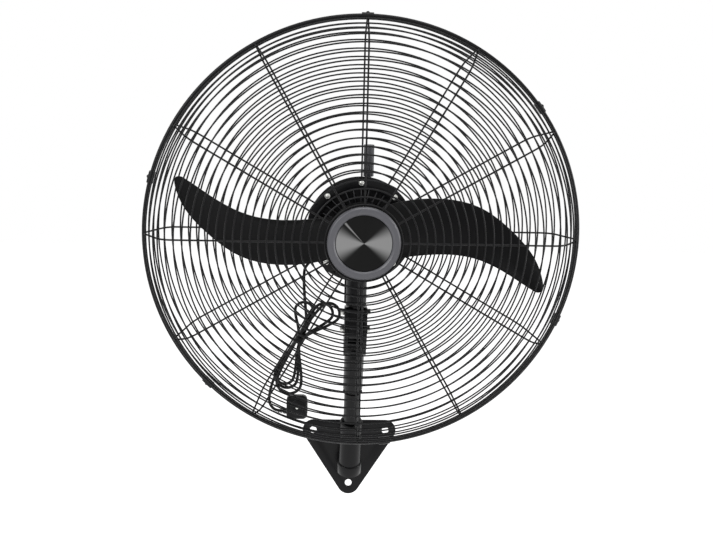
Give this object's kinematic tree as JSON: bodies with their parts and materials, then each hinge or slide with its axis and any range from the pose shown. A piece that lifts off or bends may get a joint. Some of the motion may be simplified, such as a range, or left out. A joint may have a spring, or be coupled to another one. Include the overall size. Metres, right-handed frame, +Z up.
{
  "type": "wall mounted fan",
  "caption": "Wall mounted fan: round wire cage, two-bladed propeller, oscillating head on a tilting neck, tube arm with a screw-on wall plate and a hanked mains cord.",
  "frame": {"origin": "on the wall plate's back face, on the line of symmetry, between the two upper screw holes and the lower one", "axes": "-Y out of the wall towards the room, +Z up, +X to the right as seen from the room; the fan's front faces -Y, tipped 7 degrees down"},
  "size_m": [0.761, 0.4644, 0.9369],
  "materials": {
    "black_paint": "gloss",
    "black_wire": "satin",
    "black_casting": "satin",
    "grey_bezel": "satin",
    "spun_metal": "brushed",
    "zinc": "satin",
    "steel": "satin",
    "core_steel": "matte",
    "copper": "satin",
    "black_plastic": "satin",
    "knob_plastic": "satin",
    "nylon": "matte",
    "grey_plastic": "matte",
    "cord_sheath": "matte"
  },
  "bodies": {
    "bracket": {"wall_plate": "black_paint", "arm_socket": "black_paint", "arm_tube": "black_paint", "hinge_fork": "black_paint", "tilt_bolt": "zinc", "tilt_nut": "zinc"},
    "neck": {"neck_knuckle": "black_paint", "neck_washer": "zinc", "lock_bolt": "zinc", "lock_nut": "zinc", "link_bracket": "black_wire"},
    "head": {"badge_bezel": "grey_bezel", "badge_disc": "spun_metal", "badge_screws": "zinc", "capacitor": "grey_plastic", "case_screws": "zinc", "cord_drop": "cord_sheath", "cord_gland": "black_plastic", "cord_hank": "cord_sheath", "cord_tail": "cord_sheath", "cord_tie": "cord_sheath", "front_bearing": "steel", "front_guard_hub_plate": "black_wire", "front_guard_rim": "black_wire", "front_guard_rings": "black_wire", "front_guard_shoulder_rings": "black_wire", "front_guard_spokes": "black_wire", "gear_case": "black_casting", "gear_case_cover": "black_casting", "guard_screws": "zinc", "motor_front_cover": "black_casting", "motor_rear_cover": "black_casting", "motor_screws": "zinc", "plug_body": "black_plastic", "plug_pins": "zinc", "rear_bearing": "steel", "rear_guard_plate": "black_wire", "rear_guard_rim": "black_wire", "rear_guard_rings": "black_wire", "rear_guard_shoulder_rings": "black_wire", "rear_guard_spokes": "black_wire", "rim_clip_screws": "zinc", "rim_clips": "black_wire", "speed_switch": "grey_plastic", "stator_core": "core_steel", "stator_winding": "copper", "terminal_block": "grey_plastic"},
    "fan": {"motor_shaft": "steel", "rotor_core": "core_steel", "blade_hub": "steel", "hub_screws": "zinc", "fan_blade": "black_plastic", "hub_nut": "zinc"},
    "worm_wheel": {"worm_wheel": "nylon"},
    "clutch_spindle": {"clutch_spindle": "steel"},
    "clutch_knob": {"clutch_knob": "knob_plastic"},
    "crank_gear": {"crank_gear": "steel"},
    "link_rod": {"link_rod": "steel"},
    "speed_knob": {"speed_knob": "knob_plastic"}
  },
  "joints": [
    {"name": "head_tilt", "type": "hinge", "parent": "bracket", "child": "neck", "pos_m": [0, -0.18, 0.282], "axis": [-1, 0, 0], "range_deg": [-12, 18]},
    {"name": "head_swing", "type": "hinge", "parent": "neck", "child": "head", "pos_m": [0, -0.18, 0.282], "axis": [0, -0.1219, 0.9925], "range_deg": [-40, 40]},
    {"name": "fan_spin", "type": "hinge", "parent": "head", "child": "fan", "pos_m": [0, -0.36019, 0.46944], "axis": [0, -0.9925, -0.1219], "continuous": true},
    {"name": "worm_wheel_spin", "type": "hinge", "parent": "head", "child": "worm_wheel", "pos_m": [0.019, -0.17135, 0.49262], "axis": [0, -0.1219, 0.9925], "continuous": true},
    {"name": "spindle_turn", "type": "hinge", "parent": "head", "child": "clutch_spindle", "pos_m": [0.019, -0.17135, 0.49262], "axis": [0, -0.1219, 0.9925], "range_deg": [-190, 190]},
    {"name": "clutch_pull", "type": "slide", "parent": "clutch_spindle", "child": "clutch_knob", "axis": [0, 0.1219, -0.9925], "range_m": [0, 0.008]},
    {"name": "crank_turn", "type": "hinge", "parent": "head", "child": "crank_gear", "pos_m": [0, -0.14667, 0.43722], "axis": [0, -0.1219, 0.9925], "range_deg": [-64, 64]},
    {"name": "link_turn", "type": "hinge", "parent": "crank_gear", "child": "link_rod", "pos_m": [-0.01765, -0.13442, 0.40648], "axis": [0, -0.1219, 0.9925], "range_deg": [-70, 70]},
    {"name": "speed_turn", "type": "hinge", "parent": "head", "child": "speed_knob", "pos_m": [-0.008, -0.12612, 0.53243], "axis": [0, -0.9925, -0.1219], "range_deg": [0, 135]}
  ],
  "couplings": [
    {"joint": "worm_wheel_spin", "follows": "fan_spin", "ratio": 0.041667},
    {"joint": "crank_turn", "follows": "head_swing", "ratio": -1.55},
    {"joint": "spindle_turn", "follows": "head_swing", "ratio": 4.65},
    {"joint": "link_turn", "follows": "head_swing", "ratio": 1.7}
  ]
}
